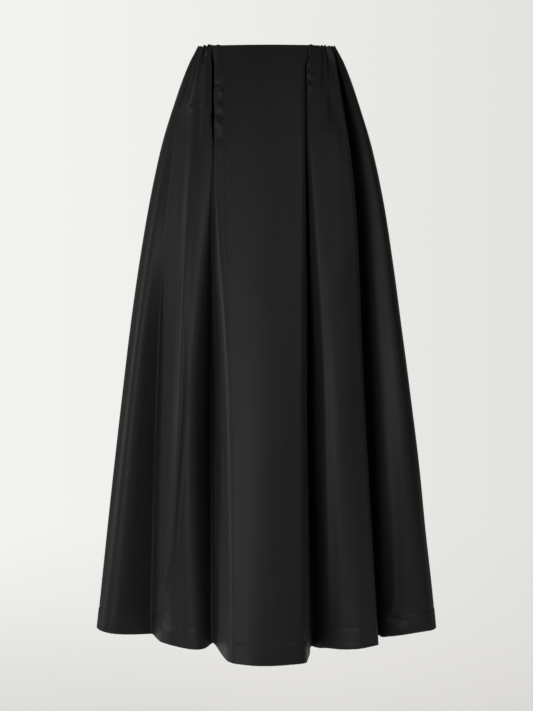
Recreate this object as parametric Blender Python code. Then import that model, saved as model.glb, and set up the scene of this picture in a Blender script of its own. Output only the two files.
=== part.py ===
"""
A long taffeta skirt, filled out and open at the waist and the hem.

Four gores make it: a flat centre front that stands forward between two deep
inverted folds, a left and a right front that are gathered at the waist, and a
gathered back. The cloth is a wall of even thickness.

The shape comes from three short tables. SECTIONS gives the size of the skirt at
a few heights. FRONT_FOLDS follows each fold of the front down the cloth, and
BACK_FLUTES does the same for the round flutes of the back. A ring of cloth
through all the folds is worked out at each height, and the gathers are added to
it near the waist.

Sizes are in millimetres until the mesh is made. The front faces -Y, +X is on
the right of someone looking at the front, and the origin is the middle of the
waist opening.
"""

import math
import random
from collections import namedtuple

import bpy
from mathutils import Vector

MM = 0.001

# The cloth.
WALL = 1.2
SEAM_GAP = 0.3
CLOTH_LENGTH = 1086.0
WAIST_EDGE_UP = 15.0

# The heights where the folds are placed, measured down from the waist edge.
HIP = 205.0
KNEE = 640.0
HEM = 1070.0

# The rows of the mesh are closer together near the waist.
ROWS = 16
ROW_BIAS = 1.8

# The gathers: small waves, four columns of the mesh to a wave.
WAVE_COLUMNS = 4
GATHER_DEPTH = 2.1
GATHER_SHORTEST = 90.0
GATHER_LONGEST = 250.0

Section = namedtuple("Section", "below half_width front back")
SECTIONS = (
    Section(0, 121, 85, 85),
    Section(30, 138, 96, 98),
    Section(90, 162, 111, 119),
    Section(190, 193, 129, 147),
    Section(340, 223, 150, 172),
    Section(640, 265, 188, 210),
    Section(1070, 314, 240, 256),
)

# A fold starts at an angle round the waist, 0 at the front and 90 on the right.
# Lower down its place is a share of the section's half width, and a share of
# its depth in front. A slot has one more place just below the waist, because it
# opens at once. Sharpness runs from 0.5, a round wave, to 0.06, a pressed
# edge.
Fold = namedtuple("Fold", "name angle path sharpness columns")
SLOT_TOP = 45
FRONT_FOLDS = (
    Fold("left side", -96,
         ((HIP, -1.00, -0.15), (KNEE, -1.00, -0.12), (HEM, -1.00, -0.04)), 0.5, 6),
    Fold("left outer ridge", -87,
         ((HIP, -0.96, 0.20), (KNEE, -0.93, 0.24), (HEM, -0.905, 0.18)), 0.5, 7),
    Fold("left valley", -77,
         ((HIP, -0.85, 0.30), (KNEE, -0.735, 0.09), (HEM, -0.655, 0.01)), 0.06, 6),
    Fold("left ridge", -65,
         ((HIP, -0.70, 0.72), (KNEE, -0.600, 0.62), (HEM, -0.580, 0.35)), 0.25, 6),
    Fold("left panel edge", -54,
         ((SLOT_TOP, -0.655, 0.74), (HIP, -0.488, 0.85), (KNEE, -0.430, 0.66), (HEM, -0.372, 0.53)), 0.5, 5),
    Fold("left slot", -51,
         ((SLOT_TOP, -0.642, 0.60), (HIP, -0.466, 0.82), (KNEE, -0.365, 0.16), (HEM, -0.295, 0.34)), 0.3, 6),
    Fold("centre panel left edge", -49.5,
         ((SLOT_TOP, -0.630, 0.77), (HIP, -0.448, 0.90), (KNEE, -0.262, 0.93), (HEM, -0.197, 0.97)), 0.2, 7),
    Fold("centre", -3,
         ((HIP, 0.00, 1.00), (KNEE, 0.00, 1.00), (HEM, -0.03, 1.00)), 0.5, 7),
    Fold("centre panel right edge", 36,
         ((SLOT_TOP, 0.460, 0.84), (HIP, 0.340, 0.91), (KNEE, 0.253, 0.89), (HEM, 0.218, 0.88)), 0.15, 6),
    Fold("right slot", 37.5,
         ((SLOT_TOP, 0.472, 0.70), (HIP, 0.352, 0.62), (KNEE, 0.275, 0.16), (HEM, 0.248, 0.24)), 0.25, 5),
    Fold("right panel left edge", 39,
         ((SLOT_TOP, 0.484, 0.81), (HIP, 0.366, 0.88), (KNEE, 0.350, 0.71), (HEM, 0.318, 0.40)), 0.3, 5),
    Fold("right panel middle", 53,
         ((HIP, 0.56, 0.88), (KNEE, 0.495, 0.76), (HEM, 0.475, 0.545)), 0.5, 6),
    Fold("right panel right edge", 66,
         ((SLOT_TOP, 0.840, 0.64), (140, 0.766, 0.75), (HIP, 0.745, 0.78),
          (KNEE, 0.640, 0.65), (HEM, 0.622, 0.49)), 0.12, 5),
    Fold("right valley", 73,
         ((SLOT_TOP, 0.866, 0.08), (140, 0.786, 0.05), (HIP, 0.765, 0.05),
          (KNEE, 0.660, 0.02), (HEM, 0.638, -0.02)), 0.25, 4),
    Fold("right flank", 79,
         ((SLOT_TOP, 0.915, 0.20), (140, 0.855, 0.24), (HIP, 0.830, 0.27),
          (KNEE, 0.725, 0.30), (HEM, 0.668, 0.10)), 0.4, 5),
    Fold("right ridge", 86,
         ((HIP, 0.965, 0.30), (KNEE, 0.945, 0.35), (HEM, 0.93, 0.15)), 0.35, 7),
    Fold("right side", 96,
         ((HIP, 1.00, -0.15), (KNEE, 1.00, -0.12), (HEM, 1.00, -0.04)), 0.5, 7),
)

# A flute of the back is a ridge, with a valley on its left. The angles go round
# from the right side to the left, and the depths are shares of the back depth.
Flute = namedtuple("Flute", "waist_angle hem_angle valley")
BACK_FLUTES = (
    Flute(109, 112, 0.15),
    Flute(131, 133, 0.18),
    Flute(152, 155, 0.14),
    Flute(177, 179, 0.19),
    Flute(203, 204, 0.16),
    Flute(226, 227, 0.18),
    Flute(249, 250, 0.13),
)
FLUTE_COLUMNS = 7
FLUTE_SHARE_AT_HIP = 0.18
FLUTE_SHARE_AT_KNEE = 0.65

# Each panel runs from one fold to the next named one, plus a number of columns.
# Gathered panels give the folds between which the gathers lie.
Panel = namedtuple("Panel", "name first first_plus last last_plus gathers colour")
PANELS = (
    Panel("front_left_panel", "left side", 0, "centre panel left edge", 1,
          ("left side", "left panel edge"), (0.022, 0.021, 0.023)),
    Panel("front_centre_panel", "centre panel left edge", 1, "centre panel right edge", 0,
          None, (0.020, 0.019, 0.021)),
    Panel("front_right_panel", "centre panel right edge", 0, "right side", 0,
          ("right panel middle", "right side"), (0.022, 0.021, 0.023)),
    Panel("back_panel", "right side", 0, "left side", 0,
          ("right side", "left side"), (0.018, 0.018, 0.020)),
)
COLLECTION = "taffeta maxi skirt"


def clear_scene():
    for thing in list(bpy.data.objects):
        bpy.data.objects.remove(thing, do_unlink=True)


def smooth_through(stations, at):
    """A smooth value at a height, through (height, value) stations, that never overshoots them."""
    heights = [height for height, _ in stations]
    values = [value for _, value in stations]
    if at <= heights[0]:
        return values[0]
    if at >= heights[-1]:
        return values[-1]
    steps = [b - a for a, b in zip(heights, heights[1:])]
    slopes = [(b - a) / step for a, b, step in zip(values, values[1:], steps)]
    tangents = [slopes[0]]
    for before, after in zip(slopes, slopes[1:]):
        tangents.append(2 * before * after / (before + after) if before * after > 0 else 0.0)
    tangents.append(slopes[-1])
    i = max(k for k in range(len(steps)) if at >= heights[k])
    step = steps[i]
    t = (at - heights[i]) / step
    start = (1 + 2 * t) * (1 - t) ** 2 * values[i] + t * (1 - t) ** 2 * step * tangents[i]
    end = t * t * (3 - 2 * t) * values[i + 1] - t * t * (1 - t) * step * tangents[i + 1]
    return start + end


def section_at(below):
    """Half width, depth in front and depth behind, at a height below the waist edge."""
    size = {}
    for name in ("half_width", "front", "back"):
        size[name] = smooth_through([(row.below, getattr(row, name)) for row in SECTIONS], below)
    return size


def back_folds():
    """The ridges and valleys of the back, as folds from the right side to the left."""
    folds = []
    angles = [(flute.waist_angle, flute.hem_angle) for flute in BACK_FLUTES]
    ends = [(96, 98)] + angles + [(264, 262)]
    for number, flute in enumerate(BACK_FLUTES):
        before = ends[number]
        valley_waist = (before[0] + flute.waist_angle) / 2
        valley_hem = (before[1] + flute.hem_angle) / 2
        folds.append(back_fold(f"back valley {number + 1}", valley_waist, valley_hem, flute.valley))
        folds.append(back_fold(f"back ridge {number + 1}", flute.waist_angle, flute.hem_angle, 0.0))
    last_waist = (BACK_FLUTES[-1].waist_angle + 264) / 2
    last_hem = (BACK_FLUTES[-1].hem_angle + 262) / 2
    folds.append(back_fold("back valley 8", last_waist, last_hem, 0.12))
    return folds


def back_fold(name, waist_angle, hem_angle, valley):
    path = []
    shares = ((HIP, FLUTE_SHARE_AT_HIP), (KNEE, FLUTE_SHARE_AT_KNEE), (HEM, 1.0))
    for below, share in shares:
        angle = math.radians(waist_angle + (hem_angle - waist_angle) * below / HEM)
        reach = 1.0 - valley * share
        path.append((below, reach * math.sin(angle), reach * math.cos(angle)))
    return Fold(name, waist_angle, tuple(path), 0.5, FLUTE_COLUMNS)


FOLDS = FRONT_FOLDS + tuple(back_folds())


def fold_places(below):
    """Where each fold is on the ring at this height, as (x, y)."""
    size = section_at(below)
    places = []
    for fold in FOLDS:
        angle = math.radians(fold.angle)
        start = (0, math.sin(angle), math.cos(angle))
        path = (start,) + fold.path
        across = smooth_through([(row[0], row[1]) for row in path], below)
        out = smooth_through([(row[0], row[2]) for row in path], below)
        depth = size["front"] if out > 0 else size["back"]
        places.append(Vector((across * size["half_width"], -out * depth)))
    return places


def rounded_ring(places, sharpness, points_per_piece=12):
    """A closed line along straight cloth and round folds: for each fold, the points up to the next."""
    count = len(places)
    pieces = []
    for i in range(count):
        here, ahead = places[i], places[(i + 1) % count]
        behind, beyond = places[i - 1], places[(i + 2) % count]
        round_here, round_ahead = sharpness[i], sharpness[(i + 1) % count]
        line = []
        for k in range(points_per_piece + 1):
            line.append(bend(behind, here, ahead, round_here, 0.5 + 0.5 * k / points_per_piece))
        for k in range(points_per_piece + 1):
            line.append(bend(here, ahead, beyond, round_ahead, 0.5 * k / points_per_piece))
        pieces.append(line)
    return pieces


def bend(before, corner, after, roundness, t):
    """A point on the curve that rounds one corner of the ring."""
    start = corner.lerp(before, roundness)
    end = corner.lerp(after, roundness)
    return start.lerp(corner, t).lerp(corner.lerp(end, t), t)


def spaced(line, count):
    """This many points along a line at even distances, without its last point."""
    lengths = [0.0]
    for a, b in zip(line, line[1:]):
        lengths.append(lengths[-1] + (b - a).length)
    found = []
    k = 0
    for number in range(count):
        wanted = lengths[-1] * number / count
        while lengths[k + 1] < wanted:
            k += 1
        step = lengths[k + 1] - lengths[k]
        found.append(line[k].lerp(line[k + 1], (wanted - lengths[k]) / step if step else 0.0))
    return found


def ring_at(below):
    """All the columns of the skirt at one height, as (x, y), before the gathers."""
    size = section_at(below)
    pieces = rounded_ring(fold_places(below), [fold.sharpness for fold in FOLDS])
    ring = []
    for fold, line in zip(FOLDS, pieces):
        ring.extend(spaced(line, fold.columns))
    left = size["half_width"] / max(-point.x for point in ring)
    right = size["half_width"] / max(point.x for point in ring)
    front = size["front"] / max(-point.y for point in ring)
    back = size["back"] / max(point.y for point in ring)
    return [
        Vector((p.x * (left if p.x < 0 else right), p.y * (front if p.y < 0 else back)))
        for p in ring
    ]


def first_column(name):
    """The column that runs down the middle of a fold."""
    column = 0
    for fold in FOLDS:
        if fold.name == name:
            return column
        column += fold.columns
    raise ValueError(name)


def columns_between(first, last, total):
    """Column numbers from one to another, going round past the end of the ring."""
    span = (last - first) % total
    return [(first + k) % total for k in range(span + 1)]


def gather_waves(total):
    """For each gathered column: which way its wave goes, how deep it is and how far down it runs."""
    waves = [None] * total
    chance = random.Random(7)
    for panel in PANELS:
        if panel.gathers is None:
            continue
        start, end = (first_column(name) for name in panel.gathers)
        columns = columns_between(start, end, total)[2:-1]
        for place, column in enumerate(columns):
            if place % WAVE_COLUMNS == 0:
                depth = GATHER_DEPTH * chance.uniform(0.7, 1.15)
                reach = chance.uniform(GATHER_SHORTEST, GATHER_LONGEST)
            side = math.sin(2 * math.pi * (place + 0.5) / WAVE_COLUMNS)
            waves[column] = (side * depth, reach)
    return waves


def outer_grid():
    """Every point of the outside of the cloth, row by row."""
    heights = [HEM * (row / ROWS) ** ROW_BIAS for row in range(ROWS + 1)]
    rings = [ring_at(below) for below in heights]
    total = len(rings[0])
    waves = gather_waves(total)
    grid = [[None] * total for _ in heights]
    for column in range(total):
        stretch = equal_length(heights, [ring[column] for ring in rings])
        for row, below in enumerate(heights):
            point = rings[row][column]
            if waves[column]:
                depth, reach = waves[column]
                along = rings[row][(column + 1) % total] - rings[row][column - 1]
                outward = Vector((along.y, -along.x)).normalized()
                fade = max(0.0, 1.0 - below / reach) ** 1.5
                point = point + outward * depth * fade
            grid[row][column] = Vector((point.x, point.y, WAIST_EDGE_UP - below * stretch))
    return grid


def equal_length(heights, points):
    """How much longer the drop is here than HEM, so that every line down the cloth has the same length."""
    stretch = 1.0
    for _ in range(4):
        length = 0.0
        for k in range(len(heights) - 1):
            drop = (heights[k + 1] - heights[k]) * stretch
            length += math.hypot(drop, (points[k + 1] - points[k]).length)
        stretch += (CLOTH_LENGTH - length) / HEM
    return stretch


def normals_of(grid):
    """The outward direction at each point of the closed grid."""
    total = len(grid[0])
    normals = []
    for row in range(len(grid)):
        above, below = grid[max(row - 1, 0)], grid[min(row + 1, len(grid) - 1)]
        line = []
        for column in range(total):
            along = grid[row][(column + 1) % total] - grid[row][column - 1]
            down = below[column] - above[column]
            line.append(down.cross(along).normalized())
        normals.append(line)
    return normals


def make_panel(panel, grid, normals, collection):
    """One gore: its outside, its inside and the edges between them."""
    total = len(grid[0])
    first = (first_column(panel.first) + panel.first_plus) % total
    last = (first_column(panel.last) + panel.last_plus) % total
    columns = columns_between(first, last, total)
    wide, tall = len(columns), len(grid)
    points = []
    for offset in (0.0, WALL):
        for row in range(tall):
            line = [grid[row][c] - normals[row][c] * offset for c in columns]
            line[0] = line[0] + (line[1] - line[0]).normalized() * SEAM_GAP / 2
            line[-1] = line[-1] + (line[-2] - line[-1]).normalized() * SEAM_GAP / 2
            points.extend(line)

    inside = wide * tall
    faces = []
    for row in range(tall - 1):
        for k in range(wide - 1):
            a = row * wide + k
            b, c, d = a + 1, a + wide + 1, a + wide
            faces.append((a, d, c, b))
            faces.append((a + inside, b + inside, c + inside, d + inside))
    for k in range(wide - 1):
        a, b = k, k + 1
        faces.append((a, b, b + inside, a + inside))
        a, b = (tall - 1) * wide + k, (tall - 1) * wide + k + 1
        faces.append((b, a, a + inside, b + inside))
    for row in range(tall - 1):
        a, d = row * wide, (row + 1) * wide
        faces.append((d, a, a + inside, d + inside))
        b, c = a + wide - 1, d + wide - 1
        faces.append((b, c, c + inside, b + inside))

    mesh = bpy.data.meshes.new(panel.name)
    mesh.from_pydata([tuple(point * MM) for point in points], [], faces)
    mesh.validate()
    for polygon in mesh.polygons:
        polygon.use_smooth = True
    thing = bpy.data.objects.new(panel.name, mesh)
    thing.data.materials.append(taffeta(panel))
    collection.objects.link(thing)
    return thing


def taffeta(panel):
    material = bpy.data.materials.new(panel.name)
    material.use_nodes = True
    shader = material.node_tree.nodes["Principled BSDF"]
    shader.inputs["Base Color"].default_value = (*panel.colour, 1.0)
    shader.inputs["Roughness"].default_value = 0.45
    return material


def main():
    clear_scene()
    collection = bpy.data.collections.new(COLLECTION)
    bpy.context.scene.collection.children.link(collection)
    grid = outer_grid()
    normals = normals_of(grid)
    for panel in PANELS:
        make_panel(panel, grid, normals, collection)


main()
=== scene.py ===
# %% [markdown]
# A long black taffeta skirt, filled out as if someone wore it, and open at the
# waist and the hem. This lesson dresses the plain solids of the skirt with real
# looking cloth: fine gathers at the waist, puckers where the gathered cloth is
# eased onto the centre front, pressed folds, a stitched hem, and a black cloth
# that shines a little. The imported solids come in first, and nothing here moves
# or resizes them.

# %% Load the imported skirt
import math
import random
from collections import namedtuple

import bpy
import numpy as np
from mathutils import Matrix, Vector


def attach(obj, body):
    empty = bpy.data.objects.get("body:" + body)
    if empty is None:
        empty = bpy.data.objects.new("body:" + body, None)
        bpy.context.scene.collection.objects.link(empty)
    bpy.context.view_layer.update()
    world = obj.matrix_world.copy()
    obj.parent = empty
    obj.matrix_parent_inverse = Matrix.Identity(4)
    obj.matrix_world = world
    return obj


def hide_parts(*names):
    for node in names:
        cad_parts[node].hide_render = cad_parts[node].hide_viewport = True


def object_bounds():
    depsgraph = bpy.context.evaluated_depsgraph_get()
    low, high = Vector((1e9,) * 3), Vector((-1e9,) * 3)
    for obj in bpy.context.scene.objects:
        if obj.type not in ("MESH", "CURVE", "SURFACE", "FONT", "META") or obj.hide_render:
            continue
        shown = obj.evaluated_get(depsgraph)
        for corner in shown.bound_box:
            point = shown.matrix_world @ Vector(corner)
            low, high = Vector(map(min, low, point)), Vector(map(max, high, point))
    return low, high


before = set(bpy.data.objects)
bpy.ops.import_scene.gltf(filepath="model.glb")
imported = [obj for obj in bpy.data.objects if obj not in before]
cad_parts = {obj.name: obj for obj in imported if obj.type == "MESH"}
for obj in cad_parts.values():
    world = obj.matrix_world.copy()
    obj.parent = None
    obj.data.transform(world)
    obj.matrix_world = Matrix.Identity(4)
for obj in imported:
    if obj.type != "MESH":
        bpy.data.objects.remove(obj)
cad_box = [list(corner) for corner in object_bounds()]
print("solids:", sorted(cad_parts))
print("solid box:", [[round(value, 3) for value in corner] for corner in cad_box])

# %% [markdown]
# The skirt is drawn as rings of cloth, one ring for each height. Three short
# tables drive them, the same ones that made the solids, in millimetres. The
# first is the size of the skirt at a few heights below the waist edge. A maker
# would read it off a pattern. Between the rows the size changes smoothly.

# %% Sizes down the skirt
MM = 0.001
WAIST_EDGE_UP = 15.0
CLOTH_LENGTH = 1086.0
HIP, KNEE, HEM = 205.0, 640.0, 1070.0
SLOT_TOP = 45

Section = namedtuple("Section", "below half_width front back")
SECTIONS = (
    Section(0, 121, 85, 85),
    Section(30, 138, 96, 98),
    Section(90, 162, 111, 119),
    Section(190, 193, 129, 147),
    Section(340, 223, 150, 172),
    Section(640, 265, 188, 210),
    Section(1070, 314, 240, 256),
)


def smooth_through(stations, at):
    """A smooth value at a height, through (height, value) stations, that never overshoots them."""
    heights = [height for height, _ in stations]
    values = [value for _, value in stations]
    if at <= heights[0]:
        return values[0]
    if at >= heights[-1]:
        return values[-1]
    steps = [b - a for a, b in zip(heights, heights[1:])]
    slopes = [(b - a) / step for a, b, step in zip(values, values[1:], steps)]
    tangents = [slopes[0]]
    for before, after in zip(slopes, slopes[1:]):
        tangents.append(2 * before * after / (before + after) if before * after > 0 else 0.0)
    tangents.append(slopes[-1])
    i = max(k for k in range(len(steps)) if at >= heights[k])
    step = steps[i]
    t = (at - heights[i]) / step
    start = (1 + 2 * t) * (1 - t) ** 2 * values[i] + t * (1 - t) ** 2 * step * tangents[i]
    end = t * t * (3 - 2 * t) * values[i + 1] - t * t * (1 - t) * step * tangents[i + 1]
    return start + end


def section_at(below):
    """Half width, depth in front and depth behind, at a height below the waist edge."""
    return {
        name: smooth_through([(row.below, getattr(row, name)) for row in SECTIONS], below)
        for name in ("half_width", "front", "back")
    }


print("at the knee:", {name: round(value) for name, value in section_at(KNEE).items()})

# %% [markdown]
# Every fold of the front has a row of its own. It starts at an angle round the
# waist, and further down its place is a share of the skirt's half width and of
# its depth. The two slots beside the centre front are deep inverted folds that
# open straight below the waist. A sharp fold was pressed, and a soft one hangs.

# %% Folds of the front
Fold = namedtuple("Fold", "name angle path sharpness columns")
FRONT_FOLDS = (
    Fold("left side", -96,
         ((HIP, -1.00, -0.15), (KNEE, -1.00, -0.12), (HEM, -1.00, -0.04)), 0.5, 6),
    Fold("left outer ridge", -87,
         ((HIP, -0.96, 0.20), (KNEE, -0.93, 0.24), (HEM, -0.905, 0.18)), 0.5, 7),
    Fold("left valley", -77,
         ((HIP, -0.85, 0.30), (KNEE, -0.735, 0.09), (HEM, -0.655, 0.01)), 0.06, 6),
    Fold("left ridge", -65,
         ((HIP, -0.70, 0.72), (KNEE, -0.600, 0.62), (HEM, -0.580, 0.35)), 0.25, 6),
    Fold("left panel edge", -54,
         ((SLOT_TOP, -0.655, 0.74), (HIP, -0.488, 0.85),
          (KNEE, -0.430, 0.66), (HEM, -0.372, 0.53)), 0.5, 5),
    Fold("left slot", -51,
         ((SLOT_TOP, -0.642, 0.60), (HIP, -0.466, 0.82),
          (KNEE, -0.365, 0.16), (HEM, -0.295, 0.34)), 0.3, 6),
    Fold("centre panel left edge", -49.5,
         ((SLOT_TOP, -0.630, 0.77), (HIP, -0.448, 0.90),
          (KNEE, -0.262, 0.93), (HEM, -0.197, 0.97)), 0.2, 7),
    Fold("centre", -3,
         ((HIP, 0.00, 1.00), (KNEE, 0.00, 1.00), (HEM, -0.03, 1.00)), 0.5, 7),
    Fold("centre panel right edge", 36,
         ((SLOT_TOP, 0.460, 0.84), (HIP, 0.340, 0.91),
          (KNEE, 0.253, 0.89), (HEM, 0.218, 0.88)), 0.15, 6),
    Fold("right slot", 37.5,
         ((SLOT_TOP, 0.472, 0.70), (HIP, 0.352, 0.62),
          (KNEE, 0.275, 0.16), (HEM, 0.248, 0.24)), 0.25, 5),
    Fold("right panel left edge", 39,
         ((SLOT_TOP, 0.484, 0.81), (HIP, 0.366, 0.88),
          (KNEE, 0.350, 0.71), (HEM, 0.318, 0.40)), 0.3, 5),
    Fold("right panel middle", 53,
         ((HIP, 0.56, 0.88), (KNEE, 0.495, 0.76), (HEM, 0.475, 0.545)), 0.5, 6),
    Fold("right panel right edge", 66,
         ((SLOT_TOP, 0.840, 0.64), (140, 0.766, 0.75), (HIP, 0.745, 0.78),
          (KNEE, 0.640, 0.65), (HEM, 0.622, 0.49)), 0.12, 5),
    Fold("right valley", 73,
         ((SLOT_TOP, 0.866, 0.08), (140, 0.786, 0.05), (HIP, 0.765, 0.05),
          (KNEE, 0.660, 0.02), (HEM, 0.638, -0.02)), 0.25, 4),
    Fold("right flank", 79,
         ((SLOT_TOP, 0.915, 0.20), (140, 0.855, 0.24), (HIP, 0.830, 0.27),
          (KNEE, 0.725, 0.30), (HEM, 0.668, 0.10)), 0.4, 5),
    Fold("right ridge", 86,
         ((HIP, 0.965, 0.30), (KNEE, 0.945, 0.35), (HEM, 0.93, 0.15)), 0.35, 7),
    Fold("right side", 96,
         ((HIP, 1.00, -0.15), (KNEE, 1.00, -0.12), (HEM, 1.00, -0.04)), 0.5, 7),
)
print(len(FRONT_FOLDS), "folds across the front")

# %% [markdown]
# The back hangs in round flutes that grow out of the gathers. Each is a ridge
# with a valley before it. Their angles and depths are uneven on purpose, as
# cloth never falls in equal waves.

# %% Flutes of the back
Flute = namedtuple("Flute", "waist_angle hem_angle valley")
BACK_FLUTES = (
    Flute(109, 112, 0.15),
    Flute(131, 133, 0.18),
    Flute(152, 155, 0.14),
    Flute(177, 179, 0.19),
    Flute(203, 204, 0.16),
    Flute(226, 227, 0.18),
    Flute(249, 250, 0.13),
)
LAST_VALLEY = 0.12
SIDE_ANGLES = ((96, 98), (264, 262))
FLUTE_COLUMNS = 7
FLUTE_SHARES = ((HIP, 0.18), (KNEE, 0.65), (HEM, 1.0))
FLUTE_ROUNDNESS = 0.5


def back_fold(name, waist_angle, hem_angle, valley):
    """A fold of the back that swings from one angle to another and sinks by a share of the depth."""
    path = []
    for below, share in FLUTE_SHARES:
        angle = math.radians(waist_angle + (hem_angle - waist_angle) * below / HEM)
        reach = 1.0 - valley * share
        path.append((below, reach * math.sin(angle), reach * math.cos(angle)))
    return Fold(name, waist_angle, tuple(path), FLUTE_ROUNDNESS, FLUTE_COLUMNS)


def back_folds():
    """The ridges and valleys of the back, from the right side to the left."""
    folds = []
    before = SIDE_ANGLES[0]
    for number, flute in enumerate(BACK_FLUTES, 1):
        middle = [(a + b) / 2 for a, b in zip(before, flute[:2])]
        folds.append(back_fold(f"back valley {number}", *middle, flute.valley))
        folds.append(back_fold(f"back ridge {number}", *flute[:2], 0.0))
        before = flute[:2]
    middle = [(a + b) / 2 for a, b in zip(before, SIDE_ANGLES[1])]
    folds.append(back_fold("back valley 8", *middle, LAST_VALLEY))
    return folds


FOLDS = FRONT_FOLDS + tuple(back_folds())
print(len(FOLDS), "folds all round")

# %% [markdown]
# A ring of cloth runs straight from fold to fold and turns round each one on a
# small curve. The cloth is cut into fine columns, more on the front, which is
# seen close. A column follows each fold from the waist to the hem, so a pressed
# edge stays crisp all the way down.

# %% A ring through the folds
FRONT_DETAIL = 5
BACK_DETAIL = 2
CURVE_STEPS = 40


def fold_places(below):
    """Where each fold is on the ring at this height, as rows of x and y."""
    size = section_at(below)
    places = []
    for fold in FOLDS:
        angle = math.radians(fold.angle)
        path = ((0, math.sin(angle), math.cos(angle)),) + fold.path
        across = smooth_through([(row[0], row[1]) for row in path], below)
        out = smooth_through([(row[0], row[2]) for row in path], below)
        depth = size["front"] if out > 0 else size["back"]
        places.append((across * size["half_width"], -out * depth))
    return np.array(places)


def bend(behind, corner, ahead, roundness, t):
    """Points on the curve that rounds one corner of the ring."""
    start = corner + (behind - corner) * roundness
    end = corner + (ahead - corner) * roundness
    t = t[:, None]
    return (1 - t) ** 2 * start + 2 * t * (1 - t) * corner + t * t * end


def columns_of(fold):
    """How many fine columns run between a fold and the next one."""
    return fold.columns * (BACK_DETAIL if fold.name.startswith(("back", "right side")) else FRONT_DETAIL)


def ring_at(below):
    """All the columns of the skirt at one height, before the gathers."""
    size = section_at(below)
    places = fold_places(below)
    count = len(places)
    ring = []
    for i, fold in enumerate(FOLDS):
        here, ahead = places[i], places[(i + 1) % count]
        behind, beyond = places[i - 1], places[(i + 2) % count]
        t = np.linspace(0, 0.5, CURVE_STEPS)
        leaving = bend(behind, here, ahead, fold.sharpness, t + 0.5)
        arriving = bend(here, ahead, beyond, FOLDS[(i + 1) % count].sharpness, t)
        line = np.vstack([leaving, arriving])
        lengths = np.concatenate([[0], np.cumsum(np.linalg.norm(np.diff(line, axis=0), axis=1))])
        wanted = lengths[-1] * np.arange(columns_of(fold)) / columns_of(fold)
        ring.append(np.stack([np.interp(wanted, lengths, line[:, k]) for k in (0, 1)], 1))
    ring = np.vstack(ring)
    left, right = ring[:, 0] < 0, ring[:, 0] >= 0
    front, back = ring[:, 1] < 0, ring[:, 1] >= 0
    ring[left, 0] *= size["half_width"] / -ring[:, 0].min()
    ring[right, 0] *= size["half_width"] / ring[:, 0].max()
    ring[front, 1] *= size["front"] / -ring[:, 1].min()
    ring[back, 1] *= size["back"] / ring[:, 1].max()
    return ring


def column_of(name):
    """The column that runs down the middle of a fold."""
    names = [fold.name for fold in FOLDS]
    return sum(columns_of(fold) for fold in FOLDS[: names.index(name)])


print(len(ring_at(HIP)), "columns round the skirt")

# %% [markdown]
# The rows of the mesh are close together at the waist, where the gathers are,
# and at the hem, where the stitching is. In between they are wider apart. Every
# line down the cloth has the same length, because that is how it was cut, so a
# fold that swings far out ends a little higher than one that hangs straight.

# %% Rows down the skirt
ROW_STEPS = ((0, 250, 2.5), (250, 1015, 9.0), (1015, HEM, 2.75))
LENGTH_PASSES = 4


def row_heights():
    heights = []
    for start, end, step in ROW_STEPS:
        heights.extend(np.linspace(start, end, round((end - start) / step), endpoint=False))
    return np.array(heights + [HEM])


heights = row_heights()
rings = np.array([ring_at(below) for below in heights])
stretch = np.ones(rings.shape[1])
sideways = np.linalg.norm(np.diff(rings, axis=0), axis=2)
for _ in range(LENGTH_PASSES):
    drops = np.diff(heights)[:, None] * stretch[None, :]
    stretch += (CLOTH_LENGTH - np.hypot(drops, sideways).sum(0)) / HEM
cloth = np.dstack([rings, WAIST_EDGE_UP - heights[:, None] * stretch[None, :]])
rows, columns = cloth.shape[:2]
hem_heights = cloth[-1, :, 2]
print(rows, "rows,", columns, "columns")
print("hem from", round(hem_heights.min()), "to", round(hem_heights.max()))

# %% [markdown]
# Small shapes such as gathers and creases push the cloth in or out along its
# own outward direction. These helpers find that direction, and the distance
# round the cloth from a fold, so that a crease can be placed as a tailor would
# say it: so many millimetres to the right of that fold.

# %% Directions and distances on the cloth


def outward(points):
    """The outward direction at each point of the closed cloth."""
    along = np.roll(points, -1, 1) - np.roll(points, 1, 1)
    down = np.gradient(points, axis=0)
    cross = np.cross(down, along)
    return cross / np.linalg.norm(cross, axis=2, keepdims=True)


step_round = np.linalg.norm(np.roll(rings, -1, 1) - rings, axis=2)
distance_round = np.concatenate([np.zeros((rows, 1)), np.cumsum(step_round, 1)[:, :-1]], 1)
base_outward = outward(cloth)


def beside(fold, offset, plus=0):
    """How far each point lies from a line offset millimetres right of a fold, or a column by it."""
    start = distance_round[:, column_of(fold) + plus * FRONT_DETAIL][:, None]
    gap = distance_round - start
    whole = step_round.sum(1)[:, None]
    gap = (gap + whole / 2) % whole - whole / 2
    return gap - offset


print("round the hip:", round(step_round[np.searchsorted(heights, HIP)].sum()), "mm")

# %% [markdown]
# The gathers are rows of small waves, pushed together on the waist edge and
# dying out at different lengths down the cloth. Each wave has its own depth and
# reach, drawn from a seeded list of chances so that every run is the same.

# %% Gathers
WAVE_COLUMNS = 4
PLAIN_BEFORE, PLAIN_AFTER = 2, 1
GATHER_DEPTH = 2.1
GATHER_UNEVEN = (0.7, 1.15)
GATHER_FADE = 1.5
GATHER_REACH = (90.0, 250.0)
GATHERED = (
    ("left side", "left panel edge", FRONT_DETAIL),
    ("right panel middle", "right side", FRONT_DETAIL),
    ("right side", "left side", BACK_DETAIL),
)


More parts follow.
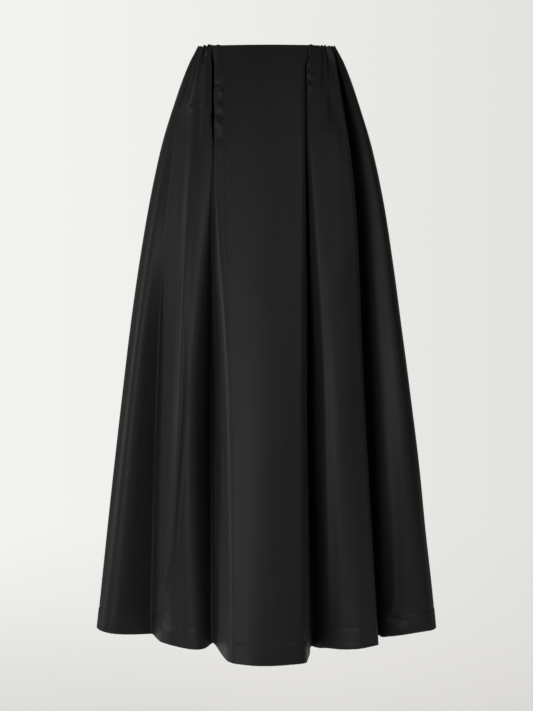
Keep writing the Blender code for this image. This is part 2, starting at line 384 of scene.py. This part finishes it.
def gather(push):
    chance = random.Random(7)
    for first, last, detail in GATHERED:
        start, end = column_of(first), column_of(last)
        span = (end - start) % columns // detail + 1 - PLAIN_BEFORE - PLAIN_AFTER
        waves = [
            (GATHER_DEPTH * chance.uniform(*GATHER_UNEVEN), chance.uniform(*GATHER_REACH))
            for _ in range(math.ceil(span / WAVE_COLUMNS))
        ]
        for fine in range(detail * span):
            place = fine / detail
            depth, reach = waves[int(place) // WAVE_COLUMNS]
            side = math.sin(2 * math.pi * (place + 0.5) / WAVE_COLUMNS)
            fade = np.clip(1 - heights / reach, 0, 1) ** GATHER_FADE
            push[:, (start + PLAIN_BEFORE * detail + fine) % columns] += depth * side * fade
    return push


push = gather(np.zeros((rows, columns)))
print("deepest gather:", round(np.abs(push).max(), 2), "mm")

# %% [markdown]
# A crease is a line down the cloth. Each one is a row in a table: the fold it
# lies beside, and a few stops with their height, their distance right of the
# fold, and the width and depth of the crease there. A push above nought is a
# ridge and below nought a groove. The gathered waist has the most of them.

# %% Creases
Crease = namedtuple("Crease", "fold stops")
CREASES = (
    # Left gathers: short sharp tucks, soft ridges between them, and drag lines below.
    Crease("left valley", ((0, 8, 1.8, -3.0), (22, 6, 2.2, -4.5), (40, 4, 3.0, -2.5), (58, 2, 4.0, 0))),
    Crease("left valley", (
        (0, 13, 1.8, -3.0), (25, 14, 2.4, -5.0), (45, 14, 3.4, -3.0), (66, 14, 5.0, 0),
    )),
    Crease("left ridge", (
        (0, -5, 1.8, -4.5), (25, -6, 2.4, -6.0), (48, -8, 3.5, -4.0), (70, -10, 5.0, 0),
    )),
    Crease("left ridge", ((0, 2, 2, 2.0), (20, 2, 3, 2.2), (60, 4, 6, 1.6), (100, 10, 6, 0))),
    Crease("left panel edge", ((0, -16, 1.8, -4.0), (26, -14, 2.2, -4.6), (48, -13, 4, 0))),
    Crease("left panel edge", ((0, -9, 1.6, -4.5), (10, -9, 1.8, -4.0), (20, -9, 2, 0))),
    Crease("left panel edge", (
        (0, -10, 3, 1.4), (60, -7, 6, 2.0), (150, -6, 8, 1.2), (260, -8, 10, 0),
    )),
    Crease("left panel edge", ((0, -4, 2, -2.4), (14, -4, 2, 0))),
    Crease("left ridge", ((96, 18, 3, 0), (112, 18, 3.5, -2.6), (150, 17, 4, -1.8), (200, 16, 6, 0))),
    Crease("left valley", ((150, 2, 12, 0), (230, 0, 14, -1.6), (330, -4, 16, 0))),
    # The left slot is widest in its upper part and closes in a point.
    Crease("left slot", (
        (2, 0, 3.0, -4), (20, 1, 4.0, -11), (58, 3, 6.0, -15), (74, 4, 6.5, -15), (84, 1, 4.5, -13),
        (104, 2, 5.0, -13), (121, 1, 7.0, -14), (134, -2, 3.5, -9), (160, 0, 2.6, -4), (180, 1, 2, 0),
    )),
    # The left ridge has a pressed crest that ends in a dimple at the hem.
    Crease("left ridge", (
        (300, 6, 10, 0), (430, 8, 8, 2.4), (640, 14, 7, 3.2), (900, 10, 6, 4.6),
        (970, -6, 6, 5.6), (1004, -28, 6, 6.4), (1017, -40, 5, 0),
    )),
    Crease("left ridge", ((560, 22, 9, 0), (720, 21, 8, -1.3), (960, 20, 9, -1.2), (1030, 16, 9, 0))),
    # Right gathers: two sharp tucks, with a soft fold that fans out below them.
    Crease("right panel middle", (
        (0, 1, 1.8, -4.0), (20, -1, 2.2, -5.5), (45, -4, 3.0, -3.6), (80, -8, 5, 0),
    )),
    Crease("right panel middle", (
        (0, 8, 1.8, -7.0), (24, 7, 2.0, -8.0), (42, 6, 2.4, -5.0), (62, 5, 4, 0),
    )),
    Crease("right panel middle", (
        (0, 15, 3, 0.2), (40, 17, 4, 0.9), (95, 20, 5, 1.4), (150, 24, 7, 0),
    )),
    Crease("right panel middle", (
        (55, 11, 3, 0), (85, 10, 4, -1.8), (115, 12, 6, -0.8), (140, 12, 8, 0),
    )),
    # Soft drag lines lower down, where the weight of the cloth pulls.
    Crease("right panel middle", (
        (420, 18, 22, 0), (700, 8, 20, -1.3), (960, 2, 16, -1.6), (1060, 0, 14, -1.0),
    )),
    Crease("right panel left edge", (
        (480, 12, 7, 0), (720, 10, 7, 1.6), (960, 11, 8, 2.0), (1030, 11, 8, 0),
    )),
    Crease("right flank", (
        (700, 22, 14, 0), (900, 22, 12, 3.0), (990, 20, 10, 7.0), (1016, 14, 8, 5.5), (1030, 10, 6, 0),
    )),
    Crease("centre", ((300, -22, 30, 0), (620, -16, 26, -0.8), (1000, -8, 24, -0.4))),
    Crease("left outer ridge", (
        (420, 14, 22, 0), (760, 12, 22, 1.0), (1000, 8, 20, 1.2), (1060, 6, 18, 0.6),
    )),
    # Tucks and drag lines like these on the back and the sides.
    Crease("back ridge 1", ((0, 3, 2.6, -3.5), (30, 2, 3.2, -4.5), (70, 0, 5, -2.2), (115, -2, 6, 0))),
    Crease("back valley 3", ((0, -4, 2.6, -3.0), (26, -5, 3.2, -4.0), (62, -6, 4, 0))),
    Crease("back ridge 5", ((0, 6, 2.6, -4.0), (36, 8, 3.6, -4.6), (90, 11, 6, -2.2), (146, 14, 8, 0))),
    Crease("back ridge 7", ((0, -3, 2.6, -3.4), (24, -3, 3.0, -4.2), (52, -2, 4, 0))),
    Crease("back ridge 3", ((480, 6, 16, 0), (760, 4, 15, 1.8), (980, 2, 12, 2.8), (1034, -6, 9, 0))),
    Crease("back valley 6", ((540, -8, 18, 0), (840, -6, 16, -1.8), (1050, -4, 14, -1.0))),
)


def add_creases(push, creases):
    for crease in creases:
        below, offset, width, depth = zip(*crease.stops)
        centre, width, depth = (
            np.interp(heights, below, row)[:, None] for row in (offset, width, depth)
        )
        reach = (heights >= below[0]) & (heights <= below[-1])
        shape = depth * np.exp(-(((beside(crease.fold, 0.0) - centre) / width) ** 2))
        push += shape * reach[:, None]
    return push


push = add_creases(push, CREASES)
print(len(CREASES), "creases")

# %% [markdown]
# Puckers are short bumps and dimples. They sit where the gathered side fronts
# are eased onto the flat centre front, like a row of little loops beside the
# seam. Wide hollows hang under the gathers, and small ones pull at the hem.
# Each is a soft round hill or hole, which a row of numbers can place exactly.

# %% Puckers and dents
Dent = namedtuple("Dent", "fold below offset tall wide push lean")
DENTS = (
    # The strip between the left slot and its seam.
    Dent("centre panel left edge", 22, 2, 12, 3.5, 3.0, 0.12),
    Dent("centre panel left edge", 70, 3, 7, 6, -3.2, 0),
    Dent("centre panel left edge", 81, 6, 6, 3.5, 3.4, 0.05),
    Dent("centre panel left edge", 96, 4, 5, 4, -1.5, 0),
    Dent("centre panel left edge", 110, 7, 7, 3.2, 3.0, 0),
    Dent("centre panel left edge", 122, 3, 5, 6, -3.4, 0),
    Dent("centre panel left edge", 139, 4, 8, 4, 3.2, 0.1),
    Dent("centre panel left edge", 162, 3, 6, 4, -1.6, 0),
    Dent("centre panel left edge", 182, 6, 10, 4, 1.0, 0),
    # The loops beside the right seam.
    Dent("right panel left edge", 9, 0, 6, 3.5, 2.6, 0),
    Dent("right panel left edge", 20, 1, 4, 4.0, -2.6, 0),
    Dent("right panel left edge", 31, 2, 7, 3.5, 2.8, 0),
    Dent("right panel left edge", 42, 3, 4, 4.0, -2.6, 0),
    Dent("right panel left edge", 51, 3, 6, 3.5, 2.6, 0),
    Dent("right panel left edge", 61, 2, 5, 4.0, -2.4, 0),
    Dent("right panel left edge", 71, 2, 6, 3.5, 2.2, 0),
    # The hollow under the left gathers, with a lip that catches the light.
    Dent("left ridge", 70, -22, 30, 22, -6.0, 0.0),
    Dent("left ridge", 112, -22, 9, 22, 2.4, -0.16),
    Dent("left ridge", 106, -2, 7, 12, 2.0, -0.16),
    Dent("left ridge", 150, -16, 16, 13, -1.6, 0),
    # The hollow under the right gathers.
    Dent("right panel middle", 106, 9, 26, 9, -3.6, 0.0),
    Dent("right panel middle", 152, 0, 20, 14, 1.4, 0),
    # The end of the left crest at the hem.
    Dent("left ridge", 1021, -32, 6, 9, -3.2, 0),
    Dent("left ridge", 1012, 0, 6, 14, -1.6, -0.3),
    Dent("left ridge", 1022, 14, 4, 16, 1.6, 0.25),
    Dent("left ridge", 1036, 6, 7, 14, -2.4, 0.2),
    Dent("left ridge", 1048, -36, 8, 6, 1.6, 0),
    # The last ridge on the right, where the stitched hem pulls.
    Dent("right flank", 1037, 12, 7, 18, -4.2, 0.35),
    Dent("right flank", 1056, 30, 8, 14, 3.4, 0.2),
    # Hollows like these on the back.
    Dent("back ridge 4", 96, -12, 24, 20, -4.0, 0),
    Dent("back ridge 6", 118, 6, 20, 16, -3.0, 0.1),
    Dent("back ridge 3", 1040, -6, 7, 14, -2.8, 0.3),
    Dent("back valley 6", 1042, 4, 8, 12, 2.2, -0.2),
)


def add_dents(push, dents):
    for dent in dents:
        down = (heights - dent.below)[:, None]
        across = beside(dent.fold, dent.offset)
        if dent.tall > dent.wide:
            across = across - dent.lean * down
        else:
            down = down - dent.lean * across
        push += dent.push * np.exp(-((down / dent.tall) ** 2) - (across / dent.wide) ** 2)
    return push


push = add_dents(push, DENTS)
print(len(DENTS), "puckers and dents")

# %% [markdown]
# No cloth hangs quite smooth. A few long, faint waves, each with its own
# direction, are added everywhere, and they fade out at the waist, where the
# cloth is held.

# %% Faint waves
WAVES = 14
WAVE_HEIGHT = 0.22
WAVE_TURNS = (6, 9, 13, 17, 22, 28)
WAVE_DRIFT = 3.0
WAVE_TALL = (160, 520)
WAVE_UNEVEN = (0.5, 1.2)
WAVES_FULL_FROM = 300


def faint_waves(push):
    chance = random.Random(31)
    whole = step_round.sum(1)[:, None]
    for _ in range(WAVES):
        turns = chance.choice(WAVE_TURNS)
        drift = chance.uniform(-WAVE_DRIFT, WAVE_DRIFT)
        tall = chance.uniform(*WAVE_TALL)
        phase = chance.uniform(0, 2 * math.pi)
        slant = heights[:, None] / tall * drift / WAVE_DRIFT
        turn = 2 * math.pi * (turns * distance_round / whole + slant) + phase
        fade = np.clip(heights / WAVES_FULL_FROM, 0, 1)[:, None]
        push += WAVE_HEIGHT * chance.uniform(*WAVE_UNEVEN) * np.sin(turn) * fade
    return push


push = faint_waves(push)
print("deepest push:", round(np.abs(push).max(), 2), "mm")

# %% [markdown]
# The seams and the hem are the last small shapes. A seam draws the cloth in
# along a narrow line, more at the waist than lower down. The hem is
# turned up once and stitched, so its band stands out a little, and the
# stitching pulls small uneven dimples along its top.

# %% Seams and hem
SEAMS = (
    ("left side", 0),
    ("centre panel left edge", 1),
    ("centre panel right edge", 0),
    ("right side", 0),
)
SEAM_GROOVE = 0.18
SEAM_GROOVE_BELOW = 0.04
SEAM_WIDTH = 1.4
SEAM_FADES = (120, 260)
HEM_STITCH = HEM - 38.0
HEM_BAND = 0.7
HEM_BAND_EDGE = 1.2
STITCH_GROOVE = 0.9
STITCH_WIDTH = 2.0
DIMPLE_DEPTH = (-0.8, 0.9)
DIMPLE_WIDE = (4, 9)
DIMPLE_TALL = (5, 14)
DIMPLE_APART = (9, 26)


def seams_and_hem(push):
    chance = random.Random(11)
    for fold, plus in SEAMS:
        groove = np.interp(heights, SEAM_FADES, (SEAM_GROOVE, SEAM_GROOVE_BELOW))[:, None]
        push -= groove * np.exp(-((beside(fold, 0.0, plus) / SEAM_WIDTH) ** 2))
    down = (heights - HEM_STITCH)[:, None]
    push += HEM_BAND / (1 + np.exp(-down / HEM_BAND_EDGE))
    push -= STITCH_GROOVE * np.exp(-((down / STITCH_WIDTH) ** 2))
    stitch_round = distance_round[-1]
    at = 0.0
    while at < stitch_round[-1]:
        depth = chance.uniform(*DIMPLE_DEPTH)
        wide = chance.uniform(*DIMPLE_WIDE)
        tall = chance.uniform(*DIMPLE_TALL)
        push += depth * np.exp(-((down / tall) ** 2) - ((stitch_round - at) / wide)[None, :] ** 2)
        at += chance.uniform(*DIMPLE_APART)
    return push


push = seams_and_hem(push)
print("hem stitched", round(HEM - HEM_STITCH), "mm above its edge")

# %% [markdown]
# Now the cloth takes its final shape. All the small pushes are added along the
# outward direction at once. The gathers also lift the waist edge in places, so
# it has little scallops. Each has a row with its width and its lift.

# %% Shape the cloth
Scallop = namedtuple("Scallop", "fold offset wide lift")
SCALLOPS = (
    Scallop("left ridge", 0, 3.0, 1.8),
    Scallop("left panel edge", -5, 3.0, 2.6),
    Scallop("left panel edge", 1, 2.5, 2.2),
    Scallop("centre panel left edge", 3, 3.0, 1.4),
    Scallop("right panel left edge", 1, 3.0, 1.6),
    Scallop("right panel middle", 4, 2.5, 1.8),
    Scallop("right panel middle", 12, 3.0, 1.4),
    Scallop("right ridge", 2, 4.0, 1.6),
    Scallop("back valley 2", 3, 4.0, 1.5),
    Scallop("back ridge 4", -5, 5.0, 1.8),
    Scallop("back ridge 6", 4, 4.0, 1.3),
    Scallop("left outer ridge", -3, 4.0, 1.7),
)
SCALLOP_REACH = 7.0

shaped = cloth + base_outward * push[:, :, None]
for scallop in SCALLOPS:
    hump = np.exp(-((beside(scallop.fold, scallop.offset) / scallop.wide) ** 2))
    shaped[:, :, 2] += scallop.lift * hump * np.exp(-((heights / SCALLOP_REACH) ** 2))[:, None]
print("shaped", shaped.shape)

# %% [markdown]
# The material is black taffeta: a tight plain weave that is almost black, with
# a broad soft shine. A cloudy noise makes the black and the shine a little
# uneven, and a wave texture gives the fine crosswise ribs of the weave.

# %% Black taffeta
CLOTH_COLOUR = (0.0140, 0.0135, 0.0146, 1.0)
CLOTH_COLOUR_LIGHT = (0.0178, 0.0172, 0.0185, 1.0)
SHINE = 0.12
SHEEN = 0.05
ROUGH_LEAST, ROUGH_MOST = 0.44, 0.54
RIB_SCALE = 500.0
RIB_HEIGHT = 0.0002


def taffeta(name):
    material = bpy.data.materials.new(name)
    material.use_nodes = True
    nodes, links = material.node_tree.nodes, material.node_tree.links
    shader = nodes["Principled BSDF"]
    shader.inputs["Specular IOR Level"].default_value = SHINE
    shader.inputs["Sheen Weight"].default_value = SHEEN
    shader.inputs["Sheen Roughness"].default_value = 0.4
    place = nodes.new("ShaderNodeTexCoord")

    cloud = nodes.new("ShaderNodeTexNoise")
    cloud.inputs["Scale"].default_value = 9.0
    cloud.inputs["Detail"].default_value = 4.0
    links.new(place.outputs["Object"], cloud.inputs["Vector"])
    tone = nodes.new("ShaderNodeMix")
    tone.data_type = "RGBA"
    tone.inputs["A"].default_value = CLOTH_COLOUR
    tone.inputs["B"].default_value = CLOTH_COLOUR_LIGHT
    links.new(cloud.outputs["Fac"], tone.inputs["Factor"])
    links.new(tone.outputs["Result"], shader.inputs["Base Color"])

    gloss = nodes.new("ShaderNodeMapRange")
    gloss.inputs["To Min"].default_value = ROUGH_LEAST
    gloss.inputs["To Max"].default_value = ROUGH_MOST
    links.new(cloud.outputs["Fac"], gloss.inputs["Value"])
    links.new(gloss.outputs["Result"], shader.inputs["Roughness"])

    ribs = nodes.new("ShaderNodeTexWave")
    ribs.bands_direction = "Z"
    ribs.inputs["Scale"].default_value = RIB_SCALE
    ribs.inputs["Distortion"].default_value = 1.0
    links.new(place.outputs["Object"], ribs.inputs["Vector"])
    weave = nodes.new("ShaderNodeBump")
    weave.inputs["Strength"].default_value = 0.08
    weave.inputs["Distance"].default_value = RIB_HEIGHT
    links.new(ribs.outputs["Fac"], weave.inputs["Height"])
    links.new(weave.outputs["Normal"], shader.inputs["Normal"])
    return material


cloth_material = taffeta("black_taffeta")
print("material:", cloth_material.name)

# %% [markdown]
# Each panel is cut out of the shaped cloth along its seams. It is a single
# sheet of points with a Solidify modifier, which gives it the thickness of real
# taffeta.

# %% Sew up the panels
CUT_LENGTH = 1.13
Panel = namedtuple("Panel", "name node first first_plus last last_plus flat area")
PANELS = (
    Panel("left_front", "front_left_panel",
          "left side", 0, "centre panel left edge", 1, (0.49, CUT_LENGTH), 0.42),
    Panel("centre_front", "front_centre_panel",
          "centre panel left edge", 1, "centre panel right edge", 0, (0.155, CUT_LENGTH), 0.17),
    Panel("right_front", "front_right_panel",
          "centre panel right edge", 0, "right side", 0, (0.59, CUT_LENGTH), 0.53),
    Panel("back", "back_panel",
          "right side", 0, "left side", 0, (1.02, CUT_LENGTH), 0.95),
)
CLOTH_THICKNESS = 0.8
SHADING_WEIGHT = 100


def cut_panel(panel):
    first = column_of(panel.first) + panel.first_plus * FRONT_DETAIL
    last = column_of(panel.last) + panel.last_plus * FRONT_DETAIL
    wide = (last - first) % columns + 1
    picked = [(first + k) % columns for k in range(wide)]
    points = shaped[:, picked].reshape(-1, 3) * MM
    faces = [
        (r * wide + k, (r + 1) * wide + k, (r + 1) * wide + k + 1, r * wide + k + 1)
        for r in range(rows - 1)
        for k in range(wide - 1)
    ]
    mesh = bpy.data.meshes.new(panel.name)
    mesh.from_pydata(points.tolist(), [], faces)
    mesh.polygons.foreach_set("use_smooth", [True] * len(faces))
    piece = bpy.data.objects.new(panel.name, mesh)
    bpy.context.scene.collection.objects.link(piece)
    mesh.materials.append(cloth_material)
    thick = piece.modifiers.new("thickness", "SOLIDIFY")
    thick.thickness = CLOTH_THICKNESS * MM
    thick.offset = -1.0
    # The narrow rims along the seams and edges don't bend the shading of the wide faces.
    shading = piece.modifiers.new("shading", "WEIGHTED_NORMAL")
    shading.mode = "FACE_AREA"
    shading.weight = SHADING_WEIGHT
    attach(piece, "root")
    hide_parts(panel.node)
    return piece


pieces = [cut_panel(panel) for panel in PANELS]
print("panels:", [(piece.name, len(piece.data.polygons)) for piece in pieces])

# %% [markdown]
# The stage is a plain pale floor under a pale sky, a little brighter on the
# left. The floor lies well below the hem, as the skirt hangs. It is a wide disc
# that fades out at its edge, so there is no hard line behind the skirt. Only
# the camera sees the sky's full brightness, as black cloth would turn grey in it.

# %% Floor and sky
FLOOR_BELOW_HEM = 0.35
FLOOR_RADIUS = 3.2
FLOOR_CORNERS = 64
FLOOR_FADES_FROM = 0.5
FLOOR_CLEAR_AT = 0.95
SKY_LEFT = (0.905, 0.900, 0.865, 1.0)
SKY_RIGHT = (0.775, 0.768, 0.745, 1.0)
SKY_WIDE = 0.13
SKY_LIGHT = 0.01


def make_floor():
    mesh = bpy.data.meshes.new("floor")
    corners = [
        (FLOOR_RADIUS * math.cos(a), FLOOR_RADIUS * math.sin(a), 0.0)
        for a in (2 * math.pi * k / FLOOR_CORNERS for k in range(FLOOR_CORNERS))
    ]
    mesh.from_pydata(corners, [], [tuple(range(FLOOR_CORNERS))])
    floor = bpy.data.objects.new("floor", mesh)
    bpy.context.scene.collection.objects.link(floor)
    floor.location = (0, 0, cad_box[0][2] - FLOOR_BELOW_HEM)
    material = bpy.data.materials.new("pale_floor")
    material.use_nodes = True
    nodes, links = material.node_tree.nodes, material.node_tree.links
    shader = nodes["Principled BSDF"]
    shader.inputs["Base Color"].default_value = (0.80, 0.79, 0.775, 1)
    shader.inputs["Roughness"].default_value = 0.9
    shader.inputs["Specular IOR Level"].default_value = 0.1
    place = nodes.new("ShaderNodeTexCoord")
    distance = nodes.new("ShaderNodeVectorMath")
    distance.operation = "LENGTH"
    links.new(place.outputs["Object"], distance.inputs[0])
    fade = nodes.new("ShaderNodeMapRange")
    fade.interpolation_type = "SMOOTHSTEP"
    fade.inputs["From Min"].default_value = FLOOR_FADES_FROM
    fade.inputs["From Max"].default_value = FLOOR_RADIUS * FLOOR_CLEAR_AT
    fade.inputs["To Min"].default_value = 1.0
    fade.inputs["To Max"].default_value = 0.0
    links.new(distance.outputs["Value"], fade.inputs["Value"])
    links.new(fade.outputs["Result"], shader.inputs["Alpha"])
    mesh.materials.append(material)
    return floor


def make_sky():
    world = bpy.data.worlds.new("studio")
    bpy.context.scene.world = world
    world.use_nodes = True
    nodes, links = world.node_tree.nodes, world.node_tree.links
    backdrop = nodes["Background"]
    place = nodes.new("ShaderNodeTexCoord")
    parts = nodes.new("ShaderNodeSeparateXYZ")
    links.new(place.outputs["Generated"], parts.inputs["Vector"])
    across = nodes.new("ShaderNodeMapRange")
    across.inputs["From Min"].default_value = -SKY_WIDE
    across.inputs["From Max"].default_value = SKY_WIDE
    links.new(parts.outputs["X"], across.inputs["Value"])
    shade = nodes.new("ShaderNodeMix")
    shade.data_type = "RGBA"
    shade.inputs["A"].default_value = SKY_LEFT
    shade.inputs["B"].default_value = SKY_RIGHT
    links.new(across.outputs["Result"], shade.inputs["Factor"])
    links.new(shade.outputs["Result"], backdrop.inputs["Color"])
    dim = nodes.new("ShaderNodeBackground")
    dim.inputs["Color"].default_value = SKY_RIGHT
    dim.inputs["Strength"].default_value = SKY_LIGHT
    seen = nodes.new("ShaderNodeLightPath")
    mix = nodes.new("ShaderNodeMixShader")
    links.new(seen.outputs["Is Camera Ray"], mix.inputs["Fac"])
    links.new(dim.outputs["Background"], mix.inputs[1])
    links.new(backdrop.outputs["Background"], mix.inputs[2])
    links.new(mix.outputs["Shader"], nodes["World Output"].inputs["Surface"])


floor = make_floor()
make_sky()
print("floor at", round(floor.location.z, 3), "m")

# %% [markdown]
# The light is soft: one large low box in front and to the left, a weaker high
# one in front and to the right, one at the left side, and a wide one overhead
# behind. Large boxes are what gives taffeta its broad bands of shine.

# %% Lights
Light = namedtuple("Light", "name place aim wide tall power")
LIGHTS = (
    Light("front_left", (-1.4, -3.55, -0.65), (0, 0, -0.55), 1.7, 1.3, 68),
    Light("front_right", (1.8, -3.3, 0.5), (0, 0, -0.3), 1.6, 1.6, 26),
    Light("side_left", (-3.6, 0.2, -0.6), (0, 0, -0.55), 1.2, 1.4, 40),
    Light("overhead", (0, 2.0, 2.0), (0, 1.4, -1.4), 3.0, 3.0, 130),
)


def aim(thing, at):
    x, y, z = (a - b for a, b in zip(at, thing.location))
    thing.rotation_euler = (math.atan2(math.hypot(x, y), -z), 0, math.atan2(y, x) - math.pi / 2)


for light in LIGHTS:
    data = bpy.data.lights.new(light.name, "AREA")
    data.shape = "RECTANGLE"
    data.size, data.size_y, data.energy = light.wide, light.tall, light.power
    lamp = bpy.data.objects.new(light.name, data)
    lamp.location = light.place
    aim(lamp, light.aim)
    bpy.context.scene.collection.objects.link(lamp)
print("lights:", [light.name for light in LIGHTS])

# %% [markdown]
# The camera stands where the photographer's did. Its height, tilt and lens were
# solved from three points of the skirt: the waist edge, the hem at the middle
# and the hem at the sides.

# %% Camera
CAMERA_AWAY = 3.6
CAMERA_BELOW_WAIST_EDGE = 0.170
CAMERA_TILT_DOWN = 6.14
FOCAL_LENGTH = 100.44

lens = bpy.data.cameras.new("camera")
lens.sensor_fit = "VERTICAL"
lens.sensor_height = 36
lens.lens = FOCAL_LENGTH
camera = bpy.data.objects.new("camera", lens)
camera.location = (0, -CAMERA_AWAY, WAIST_EDGE_UP * MM - CAMERA_BELOW_WAIST_EDGE)
camera.rotation_euler = (math.radians(90 - CAMERA_TILT_DOWN), 0, 0)
bpy.context.scene.collection.objects.link(camera)
bpy.context.scene.camera = camera
bpy.context.scene.view_settings.view_transform = "Standard"
print("camera at", [round(value, 3) for value in camera.location])
